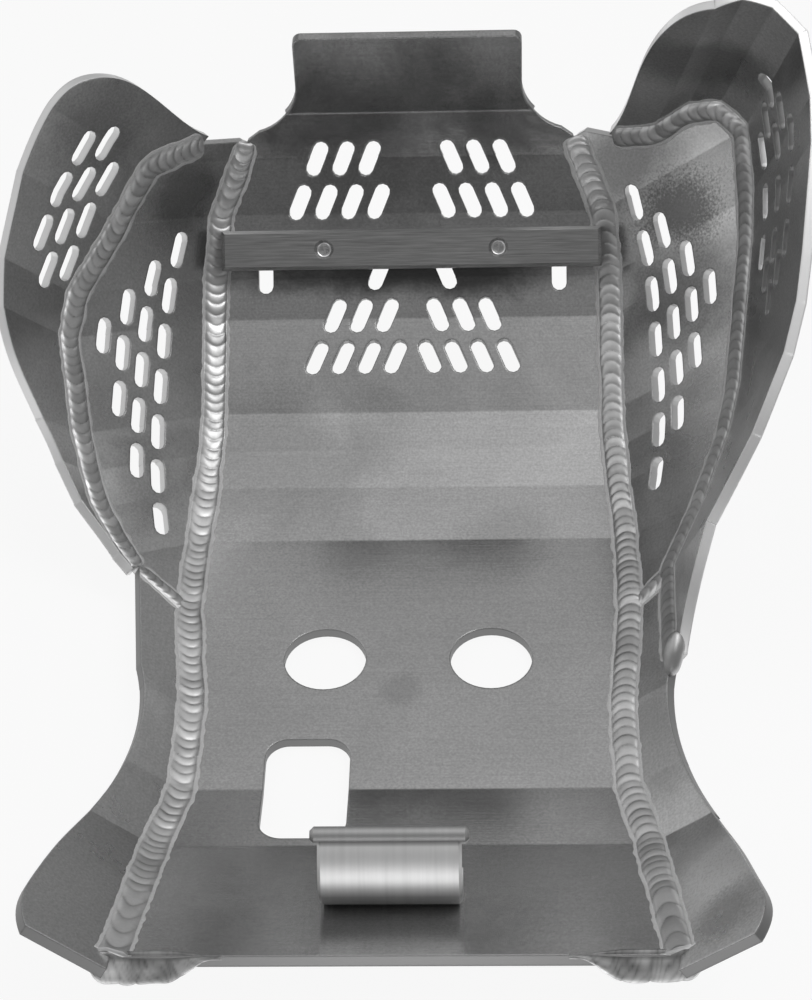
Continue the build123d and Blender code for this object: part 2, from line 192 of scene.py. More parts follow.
plate_finishes = {
    "pan": {
        "skin": ("#aaaaaa", "#c2c2c2"), "edge": "#868686", "gloss": satin,
        "painted_light_and_marks": [
            # Shade on the front tab and the facets below it
            Mark((0, 238, 132), (75, 75, 75), "#7c7c7c", 0.6),
            Mark((42, 236, 122), (46, 20, 30), "#7c7c7c", 0.8),
            # Painted blurred reflection of the cross bar, dark, in the facet under it
            Mark((0, 199, 65), (115, 17, 17), "#5c5c5c", 1.0),
            # Painted shade left of the middle facets
            Mark((-62, 125, 18), (70, 60, 40), "#929292", 0.6),
            # Painted light on the rear lip
            Mark((40, -155, 30), (110, 110, 110), "#d6d6d6", 0.7),
            # Darker patches on the floor
            Mark((-3, -19, 5), (14, 14, 14), "#909090", 0.4, 0.2),
            Mark((-30, 68, 5), (26, 26, 26), "#909090", 0.3, 0.2),
            Mark((40, 70, 5), (30, 30, 30), "#909090", 0.3, 0.2),
        ],
        # Middle and half length along Y, and the lean
        "leans": [(-93.5, 18.5, 0.035), (-153, 40, -0.03)],
    },
    "left_side_panel": {
        "skin": ("#a0a0a0", "#b8b8b8"), "edge": "#d8d8d8", "gloss": dull,
        "painted_light_and_marks": [
            # Shade in its front and rear corners
            Mark((-108, 209, 110), (26, 26, 26), "#7c7c7c", 0.9),
            Mark((-126, 95, 26), (28, 28, 28), "#8a8a8a", 0.7),
        ],
    },
    "right_side_panel": {
        "skin": ("#b4b4b4", "#cecece"), "edge": "#c8c8c8", "gloss": dull,
        "painted_light_and_marks": [
            # Painted blurred reflection of the cross bar, dark
            Mark((120, 168, 72), (80, 36, 36), "#7c7c7c", 0.9),
            # Painted light on the upper front, and painted shade on the front facet beside it
            Mark((146, 196, 116), (30, 30, 30), "#f0f0f0", 0.7, 0.2),
            Mark((106, 221, 114), (64, 17, 38), "#888888", 0.95),
            # A stippled darker patch by the vents
            Mark((128, 199, 103), (36, 24, 24), "#6e6e6e", 0.75, 1.0),
        ],
    },
    "left_wing": {
        "skin": ("#a4a4a4", "#bababa"), "edge": "#eaeaea", "gloss": dull,
        "painted_light_and_marks": [
            # Shade at its top, painted light at its rear end
            Mark((-142, 186, 160), (44, 40, 40), "#828282", 0.7),
            Mark((-164, 98, 65), (55, 55, 55), "#ffffff", 0.85),
        ],
    },
    "right_wing": {
        "skin": ("#b2b2b2", "#cacaca"), "edge": "#f4f4f4", "gloss": dull,
        "painted_light_and_marks": [
            # Shade at its top, painted light at its tail
            Mark((135, 200, 184), (60, 40, 24), "#8c8c8c", 0.9),
            Mark((136, 40, 62), (80, 80, 80), "#ffffff", 0.9),
        ],
        # A line through its slots, how far from it their walls lie, and the walls' tone, which is
        # painted shade
        "walls": ((168, 155, 148), (0, 0.75, 0.66), 22, "#9a9a9a"),
    },
    "left_rear_flare": {"skin": ("#a8a8a8", "#c4c4c4"), "edge": "#868686", "gloss": dull},
    "right_rear_flare": {
        "skin": ("#c0c0c0", "#dedede"), "edge": "#868686", "gloss": dull,
        "painted_light_and_marks": [
            # Shade at its front, painted light in its middle, a stain by its rear corner
            Mark((108, -58, 14), (30, 50, 30), "#a4a4a4", 0.7),
            Mark((124, -150, 45), (34, 34, 34), "#ffffff", 0.9, 0.2),
            Mark((128, -178, 52), (20, 20, 20), "#a0a0a0", 0.6, 0.4),
        ],
    },
}


def add_painted_light_and_marks(tree, tone, painted_light_and_marks, place, normal, smudge, speck):
    """The skin's tone with painted light, painted shade, painted reflections, darker patches and a stain
    on the inner face.
    """
    inward = add(tree, "ShaderNodeVectorMath", {"operation": "SUBTRACT"},
                 {0: engine_centre, 1: place})
    facing = add(tree, "ShaderNodeVectorMath", {"operation": "DOT_PRODUCT"},
                 {0: inward.outputs[0], 1: normal})
    inside = add(tree, "ShaderNodeMath", {"operation": "GREATER_THAN"},
                 {0: facing.outputs["Value"], 1: 0.0})
    for mark in painted_light_and_marks:
        apart = add(tree, "ShaderNodeVectorMath", {"operation": "SUBTRACT"},
                    {0: place, 1: Vector(mark.centre) * mm})
        share = add(tree, "ShaderNodeVectorMath", {"operation": "DIVIDE"},
                    {0: apart.outputs[0], 1: Vector(mark.reach) * mm})
        far = add(tree, "ShaderNodeVectorMath", {"operation": "LENGTH"}, {0: share.outputs[0]})
        cloudy = add(tree, "ShaderNodeMath", {"operation": "MULTIPLY_ADD"},
                     {0: smudge, 1: mark_cloud, 2: far.outputs["Value"]})
        ragged = add(tree, "ShaderNodeMath", {"operation": "MULTIPLY_ADD"},
                     {0: speck, 1: mark.grain, 2: cloudy.outputs[0]})
        near = add(tree, "ShaderNodeMapRange", {"interpolation_type": "SMOOTHSTEP"},
                   {"Value": ragged.outputs[0], "From Min": mark_core + mark.grain / 2,
                    "From Max": mark_rim + mark.grain / 2, "To Min": mark.strength, "To Max": 0.0})
        held = add(tree, "ShaderNodeMath", {"operation": "MULTIPLY"},
                   {0: near.outputs[0], 1: inside.outputs[0]})
        spotted = add(tree, "ShaderNodeMix", {"data_type": "RGBA"},
                      {"Factor": held.outputs[0], "A": tone, "B": linear(mark.tone)})
        tone = spotted.outputs["Result"]
    return tone


def cut_faces(tree, name, place, normal):
    """1 on the cut edges and hole walls, 0 on the rolled skin."""
    across = add(tree, "ShaderNodeVectorMath", {"operation": "DOT_PRODUCT"},
                 {0: normal, 1: folds[name].normalized()})
    size = add(tree, "ShaderNodeMath", {"operation": "ABSOLUTE"}, {0: across.outputs["Value"]})
    cut = add(tree, "ShaderNodeMapRange", {"interpolation_type": "SMOOTHSTEP"},
              {"Value": size.outputs[0], "From Min": cut_start, "From Max": cut_full})
    if name in lying_plates:
        rise = add(tree, "ShaderNodeSeparateXYZ", inputs={0: normal}).outputs["Z"]
        slope = add(tree, "ShaderNodeMath", {"operation": "ABSOLUTE"}, {0: rise})
        steep = add(tree, "ShaderNodeMath", {"operation": "LESS_THAN"},
                    {0: slope.outputs[0], 1: steep_rise})
        along = add(tree, "ShaderNodeSeparateXYZ", inputs={0: place}).outputs["Y"]
        rear = add(tree, "ShaderNodeMath", {"operation": "LESS_THAN"}, {0: along, 1: sweep_start})
        wall = add(tree, "ShaderNodeMath", {"operation": "MULTIPLY"},
                   {0: steep.outputs[0], 1: rear.outputs[0]})
        cut = add(tree, "ShaderNodeMath", {"operation": "MAXIMUM"},
                  {0: cut.outputs[0], 1: wall.outputs[0]})
    return cut.outputs[0]


def edge_tone(tree, edge, walls, place):
    """The tone of the cut faces, with painted shade on the slot walls beside a line through the slots,
    darker than the rim.
    """
    if not walls:
        return linear(edge)
    centre, direction, reach, tone = walls
    apart = add(tree, "ShaderNodeVectorMath", {"operation": "SUBTRACT"},
                {0: place, 1: Vector(centre) * mm})
    beside = add(tree, "ShaderNodeVectorMath", {"operation": "CROSS_PRODUCT"},
                 {0: apart.outputs[0], 1: Vector(direction).normalized()})
    far = add(tree, "ShaderNodeVectorMath", {"operation": "LENGTH"}, {0: beside.outputs[0]})
    near = add(tree, "ShaderNodeMath", {"operation": "LESS_THAN"},
               {0: far.outputs["Value"], 1: reach * mm})
    rim = add(tree, "ShaderNodeMix", {"data_type": "RGBA"},
              {"Factor": near.outputs[0], "A": linear(edge), "B": linear(tone)})
    return rim.outputs["Result"]


def sprung(tree, shape, leans, place):
    """The normal where stretches between two folds spring a little off their angle.

    It changes what the plate mirrors there.
    """
    for middle, half, lean in leans:
        along = add(tree, "ShaderNodeSeparateXYZ", inputs={0: place}).outputs["Y"]
        within = add(tree, "ShaderNodeMath", {"operation": "COMPARE"},
                     {0: along, 1: middle * mm, 2: half * mm})
        shift = add(tree, "ShaderNodeVectorMath", {"operation": "SCALE"},
                    {0: (0, lean, 0), "Scale": within.outputs[0]})
        leaning = add(tree, "ShaderNodeVectorMath", {"operation": "ADD"},
                      {0: shape, 1: shift.outputs[0]})
        evened = add(tree, "ShaderNodeVectorMath", {"operation": "NORMALIZE"},
                     {0: leaning.outputs[0]})
        shape = evened.outputs[0]
    return shape


def mill_plate(name, skin, edge, gloss, painted_light_and_marks=(), leans=(), walls=None):
    """Rolled aluminium plate, mill finish: grey and satin, speckled, with rolling lines and smudges.

    Its cut edges are sawn and sanded, rougher, and of one tone per plate, painted lighter or darker for
    the light on them.
    """
    material, tree = new_material("mill_aluminium_" + name)
    place = add(tree, "ShaderNodeTexCoord").outputs["Object"]
    normal = add(tree, "ShaderNodeNewGeometry").outputs["True Normal"]
    long = scale_of(rolling_line_length)
    fine = scale_of(rolling_line_width)
    # The lines run across the pan and along the other plates
    rolling = (long, fine, fine) if name == "pan" else (fine, long, fine)
    lines = add(tree, "ShaderNodeMapping", inputs={"Vector": place, "Scale": rolling})
    rolled = add(tree, "ShaderNodeTexNoise",
                 inputs={"Vector": lines.outputs[0], "Scale": 1.0, "Detail": 2.0}).outputs["Fac"]
    smudge = add(tree, "ShaderNodeTexNoise",
                 inputs={"Vector": place, "Scale": scale_of(smudge_size), "Detail": 4.0,
                         "Roughness": 0.6, "Distortion": 0.4}).outputs["Fac"]
    speck = add(tree, "ShaderNodeTexNoise",
                inputs={"Vector": place, "Scale": scale_of(speck_size), "Detail": 1.5}).outputs["Fac"]
    base = add(tree, "ShaderNodeMix", {"data_type": "RGBA"},
               {"Factor": smudge, "A": linear(skin[0]), "B": linear(skin[1])})
    tone = base.outputs["Result"]
    if painted_light_and_marks:
        tone = add_painted_light_and_marks(tree, tone, painted_light_and_marks, place, normal, smudge, speck)
    grains = add(tree, "ShaderNodeMath", {"operation": "MULTIPLY_ADD"},
                 {0: rolled, 1: 0.35, 2: speck})
    level = add(tree, "ShaderNodeMapRange",
                inputs={"Value": grains.outputs[0], "From Min": 0.4, "From Max": 0.95,
                        "To Min": 0.85, "To Max": 1.15})
    mottle = add(tree, "ShaderNodeVectorMath", {"operation": "MULTIPLY"},
                 {0: tone, 1: level.outputs[0]})
    cut = cut_faces(tree, name, place, normal)
    colour = add(tree, "ShaderNodeMix", {"data_type": "RGBA"},
                 {"Factor": cut, "A": mottle.outputs[0], "B": edge_tone(tree, edge, walls, place)})
    finish = add(tree, "ShaderNodeMapRange",
                 inputs={"Value": smudge, "From Min": 0.3, "From Max": 0.7,
                         "To Min": gloss[0], "To Max": gloss[1]})
    rough = add(tree, "ShaderNodeMix", {"data_type": "FLOAT"},
                {"Factor": cut, "A": finish.outputs[0], "B": sanded})
    # Folds and edges are a little rounded
    soft = add(tree, "ShaderNodeBevel", {"samples": 4}, {"Radius": fold_radius * mm})
    shape = add(tree, "ShaderNodeBump",
                inputs={"Height": rolled, "Strength": 0.04, "Distance": 0.4 * mm,
                        "Normal": soft.outputs[0]})
    metal = add(tree, "ShaderNodeBsdfPrincipled",
                inputs={"Base Color": colour.outputs["Result"], "Metallic": 1.0,
                        "Roughness": rough.outputs["Result"],
                        "Normal": sprung(tree, shape.outputs[0], leans, place)})
    add(tree, "ShaderNodeOutputMaterial", inputs={"Surface": metal.outputs[0]})
    return material


def dress_plates():
    for name, finish in plate_finishes.items():
        set_material(nodes[name], mill_plate(name, **finish))


# Bar and hook

# Die lines of the bar, coarser than the real ones so that they show, and brush lines of the hook, which
# cross its length. Length and width in millimetres
die_line = (16.7, 0.714)
brush_line = (50, 2.5)

# The hook's tones by height in millimetres, all painted light and shade: its foot, a painted bright band
# across its middle, the painted shadow under its rolled edge and that edge
hook_heights = 100
hook_tones = [
    (32, "#cecece"), (38, "#aaaaaa"), (42, "#959595"), (46, "#c5c5c5"), (50, "#e5e5e5"),
    (56, "#e7e7e7"), (60.5, "#d4d4d4"), (61.2, "#7c7c7c"), (63.2, "#a2a2a2"), (66, "#cbcbcb"),
]

# The tapped holes, in millimetres: (radius, rise above the mount) round the chamfer and the drill's
# bright point, and the thread between them
hole_chamfer = [(4.7, 3.88), (4.4, 4.0), (3.4, 3.4)]
hole_point = [(2.9, -0.6), (2.2, -0.6), (0.1, 0.4)]
thread_crest = 2.9
thread_root = 3.38
thread_pitch = 1.25
thread_turns = 3
first_crest = 3.1
first_root = 2.5
hole_steps = 40


def extruded_bar():
    """Extruded aluminium flat bar: satin, with die lines along its length."""
    material, tree = new_material("extruded_aluminium_bar")
    place = add(tree, "ShaderNodeTexCoord").outputs["Object"]
    long, fine = (scale_of(size) for size in die_line)
    lines = add(tree, "ShaderNodeMapping", inputs={"Vector": place, "Scale": (long, fine, fine)})
    die = add(tree, "ShaderNodeTexNoise",
              inputs={"Vector": lines.outputs[0], "Scale": 1.0, "Detail": 3.0}).outputs["Fac"]
    colour = add(tree, "ShaderNodeMix", {"data_type": "RGBA"},
                 {"Factor": die, "A": linear("#7c7c7c"), "B": linear("#d4d4d4")})
    bump = add(tree, "ShaderNodeBump",
               inputs={"Height": die, "Strength": 0.2, "Distance": 0.4 * mm})
    metal = add(tree, "ShaderNodeBsdfPrincipled",
                inputs={"Base Color": colour.outputs["Result"], "Metallic": 1.0, "Roughness": 0.4,
                        "Normal": bump.outputs[0]})
    add(tree, "ShaderNodeOutputMaterial", inputs={"Surface": metal.outputs[0]})
    return material


def brushed_hook():
    """Brushed aluminium, with painted light across its middle and painted shade at its rolled edge and
    foot.
    """
    material, tree = new_material("brushed_aluminium_hook")
    place = add(tree, "ShaderNodeTexCoord").outputs["Object"]
    long, fine = (scale_of(size) for size in brush_line)
    lines = add(tree, "ShaderNodeMapping", inputs={"Vector": place, "Scale": (fine, long, long)})
    brushed = add(tree, "ShaderNodeTexNoise",
                  inputs={"Vector": lines.outputs[0], "Scale": 1.0, "Detail": 2.0})
    streak = add(tree, "ShaderNodeMapRange",
                 inputs={"Value": brushed.outputs["Fac"], "From Min": 0.3, "From Max": 0.7,
                         "To Min": 0.93, "To Max": 1.03})
    rise = add(tree, "ShaderNodeSeparateXYZ", inputs={0: place}).outputs["Z"]
    share = add(tree, "ShaderNodeMath", {"operation": "MULTIPLY"},
                {0: rise, 1: 1 / (hook_heights * mm)})
    # Painted light and shade by height
    painted_hook_light = add(tree, "ShaderNodeValToRGB", inputs={"Fac": share.outputs[0]},
                 stops=[(height / hook_heights, linear(tone)) for height, tone in hook_tones])
    colour = add(tree, "ShaderNodeVectorMath", {"operation": "MULTIPLY"},
                 {0: painted_hook_light.outputs["Color"], 1: streak.outputs[0]})
    metal = add(tree, "ShaderNodeBsdfPrincipled",
                inputs={"Base Color": colour.outputs[0], "Metallic": 1.0, "Roughness": 0.54})
    add(tree, "ShaderNodeOutputMaterial", inputs={"Surface": metal.outputs[0]})
    return material


def cut_metal():
    """Freshly cut aluminium in the bar's tapped holes: bright, with a soft glint."""
    material, tree = new_material("bright_cut_aluminium")
    metal = add(tree, "ShaderNodeBsdfPrincipled",
                inputs={"Base Color": linear("#fafafa"), "Metallic": 1.0, "Roughness": 0.35})
    add(tree, "ShaderNodeOutputMaterial", inputs={"Surface": metal.outputs[0]})
    return material


def tapped_hole(side, material):
    """The chamfer at the mouth of a tapped hole, its first thread turns and the drill's bright point."""
    name = side + "_bar_hole"
    mount = mounts[side + "_bar_thread"]
    centre = Vector(mount["pos_m"])
    axis = Vector(mount["axis"])
    wide = Vector((1, 0, 0))
    tall = axis.cross(wide)
    rings = list(hole_chamfer)
    for k in range(thread_turns):
        rings += [(thread_crest, first_crest - thread_pitch * k),
                  (thread_root, first_root - thread_pitch * k)]
    rings += hole_point
    vertices = []
    for radius, rise in rings:
        for k in range(hole_steps):
            turn = 2 * pi * k / hole_steps
            spoke = wide * cos(turn) + tall * sin(turn)
            vertices.append(centre + spoke * radius * mm + axis * rise * mm)
    faces = []
    for ring in range(len(rings) - 1):
        for k in range(hole_steps):
            a = ring * hole_steps + k
            b = ring * hole_steps + (k + 1) % hole_steps
            faces.append((a, b, b + hole_steps, a + hole_steps))
    mesh = bpy.data.meshes.new(name)
    mesh.from_pydata(vertices, [], faces)
    mesh.materials.append(material)
    mesh.update()
    piece = new_piece(name, mesh)
    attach(piece, "root")


def dress_bar_and_hook():
    set_material(nodes["cross_bar"], extruded_bar())
    set_material(nodes["rear_hook"], brushed_hook())
    bright_cut = cut_metal()
    for side in ("left", "right"):
        tapped_hole(side, bright_cut)


# Weld beads

# Patterns of the weld metal, in millimetres. Real pits are finer, and they are drawn at this size so
# that they show
cloud_size = 7.7
pit_size = 0.714

# A bead's rings lie a step apart and have these rows across its face and its root
sample_step = 0.5 * mm
face_rows = 18
root_rows = 5

# Samples to each side over which a seam's corners, its last kinks and its plates' normals are eased
corner_ease = 10
last_ease = 8
normal_ease = 16

# Where a bead ends it rounds off over its run-out. Its root fills most of the gap behind it
run_out = 5 * mm
root_depth = 4.7 * mm
root_half = 0.8 * mm
root_bow = 0.5 * mm
neck_half = 0.4 * mm
neck_depth = 0.6 * mm

# The arc-cleaned strip on each side of a bead has a ragged rim that dips into the plate
margin_width = 1.6
margin_rag = 0.9
margin_lift = 0.12 * mm
toe_lift = 0.16 * mm
toe_gap = 0.2

# How far the ripples bow across a bead
ripple_bow = 3.4 * mm

# A bead's width, the pitch of its ripples, how far it and they stand up, and the length of its tail
Bead = namedtuple("Bead", "width pitch crown ripple tail")
bead_sizes = {
    "pan": Bead(11.6 * mm, 4.9 * mm, 0.75 * mm, 0.45 * mm, 45 * mm),
    "wing": Bead(11.4 * mm, 4.7 * mm, 0.6 * mm, 0.3 * mm, 0.0),
    "flare": Bead(8.0 * mm, 4.4 * mm, 0.7 * mm, 0.35 * mm, 0.0),
}


def weld_metal():
    """Aluminium weld metal as laid: painted highlights on the ripples and painted shade in the valleys
    between them.
    """
    material, tree = new_material("aluminium_weld")
    place = add(tree, "ShaderNodeTexCoord").outputs["Object"]
    cloud = add(tree, "ShaderNodeTexNoise",
                inputs={"Vector": place, "Scale": scale_of(cloud_size), "Detail": 4.0,
                        "Roughness": 0.6}).outputs["Fac"]
    bright = add(tree, "ShaderNodeMix", {"data_type": "RGBA"},
                 {"Factor": cloud, "A": linear("#c6c6c6"), "B": linear("#ffffff")})
    crest = add(tree, "ShaderNodeAttribute", {"attribute_name": "crest"})
    # Painted shade in the valleys, painted highlights on the crests
    colour = add(tree, "ShaderNodeMix", {"data_type": "RGBA"},
                 {"Factor": crest.outputs["Fac"], "A": linear("#5c5c5c"),
                  "B": bright.outputs["Result"]})
    rough = add(tree, "ShaderNodeMapRange",
                inputs={"Value": cloud, "From Min": 0.3, "From Max": 0.7,
                        "To Min": 0.5, "To Max": 0.34})
    metal = add(tree, "ShaderNodeBsdfPrincipled",
                inputs={"Base Color": colour.outputs["Result"], "Metallic": 1.0,
                        "Roughness": rough.outputs[0]})
    add(tree, "ShaderNodeOutputMaterial", inputs={"Surface": metal.outputs[0]})
    return material


def fillet_metal():
    """Weld metal of the plain fillet under the hook: the same grey, without ripples."""
    material, tree = new_material("aluminium_fillet")
    metal = add(tree, "ShaderNodeBsdfPrincipled",
                inputs={"Base Color": linear("#c4c4c4"), "Metallic": 1.0, "Roughness": 0.4})
    add(tree, "ShaderNodeOutputMaterial", inputs={"Surface": metal.outputs[0]})
    return material


def etched_margin():
    """The strip beside a bead that the arc cleaned: matt, pale and finely pitted."""
    material, tree = new_material("arc_cleaned_aluminium")
    place = add(tree, "ShaderNodeTexCoord").outputs["Object"]
    pits = add(tree, "ShaderNodeTexNoise",
               inputs={"Vector": place, "Scale": scale_of(pit_size), "Detail": 2.0}).outputs["Fac"]
    colour = add(tree, "ShaderNodeMix", {"data_type": "RGBA"},
                 {"Factor": pits, "A": linear("#c0c0c0"), "B": linear("#e0e0e0")})
    bump = add(tree, "ShaderNodeBump",
               inputs={"Height": pits, "Strength": 0.3, "Distance": 0.3 * mm})
    metal = add(tree, "ShaderNodeBsdfPrincipled",
                inputs={"Base Color": colour.outputs["Result"], "Metallic": 0.6, "Roughness": 0.65,
                        "Normal": bump.outputs[0]})
    add(tree, "ShaderNodeOutputMaterial", inputs={"Surface": metal.outputs[0]})
    return material


class Plate:
    """The inner face of one plate: its triangles for finding seats, and its corners."""

    least_facing = 0.3

    def __init__(self, name):
        mesh = nodes[name].data
        faces = []
        used = set()
        for face in mesh.polygons:
            towards = engine_centre - face.center
            is_inner = face.normal.dot(towards) > self.least_facing * towards.length
            is_cut = abs(face.normal.dot(folds[name].normalized())) > cut_full
            if is_inner and not is_cut:
                faces.append(list(face.vertices))
                used.update(face.vertices)
        points = [v.co.copy() for v in mesh.vertices]
        self.corners = [points[k] for k in used]
        self.tree = BVHTree.FromPolygons(points, faces)

    def off(self, point):
        return self.tree.find_nearest(point)[3]


def seam(first, second, reach=4.5 * mm, spacing=4 * mm):
    """Points where two plates' inner faces meet, from front to rear."""
    points = []
    for a in first:
        for corner in a.corners:
            for b in second:
                near = [c for c in b.corners if (c - corner).length < reach]
                if near:
                    points.append((corner + min(near, key=lambda c: (c - corner).length)) / 2)
    points.sort(key=lambda p: -p.y)
    kept = points[:1]
    for point in points[1:]:
        if all((point - other).length > spacing for other in kept):
            kept.append(point)
    return kept


def run(points, first, second):
    """Even samples along a seam, with its corners eased and every sample midway between its plates."""
    samples = []
    for a, b in zip(points, points[1:]):
        count = max(1, round((b - a).length / sample_step))
        samples += [a.lerp(b, k / count) for k in range(count)]
    samples.append(points[-1])
    for _ in range(2):
        samples = ease(samples, corner_ease)
        samples = [(on_plate(first, sample, 0.0) + on_plate(second, sample, 0.0)) / 2
                   for sample in samples]
    return ease(samples, last_ease)


def ease(values, reach):
    """A moving average over some samples to each side, which keeps the two ends."""
    eased = []
    last = len(values) - 1
    for k in range(len(values)):
        span = min(reach, k, last - k)
        window = values[k - span:k + span + 1]
        eased.append(sum(window, Vector()) / len(window))
    return eased


def seats(plates, samples, tangents, step=5 * mm):
    """For each sample, the inner normal of the nearest plate, and the way from the seam onto it."""
    normals = []
    for sample in samples:
        plate = min(plates, key=lambda entry: entry.off(sample))
        normals.append(plate.tree.find_nearest(sample)[1])
    normals = [normal.normalized() for normal in ease(normals, normal_ease)]
    ways = [tangent.cross(normal).normalized() for tangent, normal in zip(tangents, normals)]
    lead = 0.0
    for sample, way in zip(samples, ways):
        lead += min(plate.off(sample - way * step) for plate in plates)
        lead -= min(plate.off(sample + way * step) for plate in plates)
    return normals, ways if lead > 0 else [-way for way in ways]


def on_plate(plates, point, rise, reach=6 * mm):
    """The point moved on to the nearest plate and raised off it, unless the plates end short of it."""
    plate = min(plates, key=lambda entry: entry.off(point))
    spot, normal, _, gap = plate.tree.find_nearest(point)
    return (spot if gap < reach else point) + normal * rise


def ripple(phase):
    """One weld ripple, from 0 in a sharp valley to 1 on a round crest."""
    share = (phase - floor(phase)) ** 0.8
    return (4 * share * (1 - share)) ** 0.6


def swing(along, length, seed):
    """A smooth random value from about -1 to 1 along a bead."""
    return noise.noise(Vector((along / length, seed, 0.5 * seed)))


def loft_rings(name, rings, margins, crests, materials):
    """A closed mesh through rings of points, with margin columns in the second material."""
    count = len(rings[0])
    vertices = [point for ring in rings for point in ring]
    faces = []
    paint = []
    for k in range(len(rings) - 1):
        for j in range(count):
            a = k * count + j
            b = k * count + (j + 1) % count
            faces.append((a, b, b + count, a + count))
            paint.append(1 if j in margins else 0)
    faces.append(tuple(reversed(range(count))))
    faces.append(tuple(range((len(rings) - 1) * count, len(rings) * count)))
    paint += [0, 0]
    mesh = bpy.data.meshes.new(name)
    mesh.from_pydata(vertices, [], faces)
    mesh.polygons.foreach_set("material_index", paint)
    mesh.polygons.foreach_set("use_smooth", [True] * len(faces))
    mesh.attributes.new("crest", "FLOAT", "POINT").data.foreach_set("value", crests)
    for material in materials:
        mesh.materials.append(material)
    # Rings that run the other way round leave the mesh inside out
    solid = bmesh.new()
    solid.from_mesh(mesh)
    if solid.calc_volume(signed=True) < 0:
        mesh.flip_normals()
    solid.free()
    mesh.update()
    return new_piece(name, mesh)


def margin(plates, edge, into, width):
    """The arc-cleaned strip from its buried rim to the toe of a bead."""
    return [on_plate(plates, edge + into * width, -margin_lift),
            on_plate(plates, edge + into * width * 0.85, margin_lift),
            on_plate(plates, edge + into * toe_gap * mm, toe_lift)]


def weld_bead(side, kind, first, second, smile, materials):
    """A rippled bead in the corner between two plates, with its root filling the gap behind.

    Over a tail the ripples come wide apart, and the bead's rear end runs on under the next bead.
    """
    name = side + "_" + kind + "_bead"
    bead = bead_sizes[kind]
    samples = run(seam(first, second), first, second)
    last = len(samples) - 1
    tangents = [(samples[min(k + 1, last)] - samples[max(k - 1, 0)]).normalized()
                for k in range(last + 1)]
    normals_a, ways_a = seats(first, samples, tangents)
    normals_b, ways_b = seats(second, samples, tangents)
    seed = 7.3 * len(name)
    rings = []
    crests = []
    for k, place in enumerate(samples):
        along = k * sample_step
        normal_a = normals_a[k]
        normal_b = normals_b[k]
        into_a = ways_a[k]
        into_b = ways_b[k]
        up = (normal_a + normal_b).normalized()
        # The welder's hand: width, pace and line wander
        slow = swing(along, 9 * mm, seed)
        slower = swing(along, 33 * mm, seed + 3)
        drift = 0.5 * mm * swing(along, 24 * mm, seed + 7)
        end = min(1.0, (k if bead.tail else min(k, last - k)) * sample_step / run_out)
        round_end = (1 - (1 - end) ** 2) ** 0.5
        half = bead.width / 2 * (1 + 0.1 * slow + 0.08 * slower) * (0.4 + 0.6 * round_end)
        in_tail = max(0.0, along - last * sample_step + bead.tail) if bead.tail else 0.0
        beat = (along - 0.55 * in_tail) / bead.pitch + 0.6 * slower + 0.15 * slow
        edge_a = on_plate(first, place + into_a * (half + drift), 0.0)
        edge_b = on_plate(second, place + into_b * (half - drift), 0.0)
        margin_a, margin_b = ((margin_width + margin_rag * swing(along, 4 * mm, seed + shift))
                              * mm * round_end for shift in (11, 17))
        ring = margin(first, edge_a, into_a, margin_a)
        crest = []
        for j in range(face_rows + 1):
            v = 2 * j / face_rows - 1
            arch = 1 - abs(v) ** 3.4
            phase = beat + smile * v * v * ripple_bow / bead.pitch
            wave = ripple(phase)
            strength = 0.95 + 0.35 * noise.cell(Vector((floor(phase), seed, 0)))
            waves = (1 - v ** 8) * bead.ripple * strength * wave
            lift = toe_lift + round_end * (arch * bead.crown + waves)
            ring.append(edge_a.lerp(edge_b, j / face_rows) + up * lift)
            # Its tone: a painted highlight on each ripple's crest and painted shade in its valley
            crest.append(wave ** 0.25 * (0.82 + 0.18 * noise.cell(Vector((floor(phase), 0, seed)))))
        ring += reversed(margin(second, edge_b, into_b, margin_b))
        depth = root_depth * (0.1 + 0.9 * round_end)
        out_b = place + into_b * root_half - normal_b * depth
        out_a = place + into_a * root_half - normal_a * depth
        ring.append(place + into_b * neck_half - normal_b * neck_depth)
        for j in range(root_rows + 1):
            v = 2 * j / root_rows - 1
            ring.append(out_b.lerp(out_a, j / root_rows) - up * (1 - v * v) * root_bow)
        ring.append(place + into_a * neck_half - normal_a * neck_depth)
        rings.append(ring)
        crests += [1.0] * 3 + crest + [1.0] * (len(ring) - 3 - len(crest))
    margins = {0, 1, 2, face_rows + 3, face_rows + 4, face_rows + 5}
    piece = loft_rings(name, rings, margins, crests, materials)
    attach(piece, "root")
    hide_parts(side + "_" + kind + "_weld")


def rounded(points, rounds):
    """A closed outline with its corners cut back evenly, each round halving the steps."""
    for _ in range(rounds):
        cut = []
        for a, b in zip(points, points[1:] + points[:1]):
            cut += [a.lerp(b, 0.25), a.lerp(b, 0.75)]
        points = cut
    return points


# A corner bead hangs over the pan's rear edge: its section in millimetres, from the top of the edge, and
# the place of that edge in the box of the CAD weld
corner_section = [(3.2, 2.6), (-7.6, -7.4), (-6.6, -8.4), (1.6, -5.4)]
corner_height = 9 * mm
corner_edge_in = 8.0 * mm
corner_edge_down = 0.4 * mm

# It starts outside the CAD weld with a rounded end that curls up the flare, and thins out further in
corner_overrun = 7.0 * mm
corner_curl = 5 * mm
corner_curl_length = 16 * mm
corner_taper_start = 29 * mm
corner_taper_length = 18 * mm
corner_thinning = 0.86


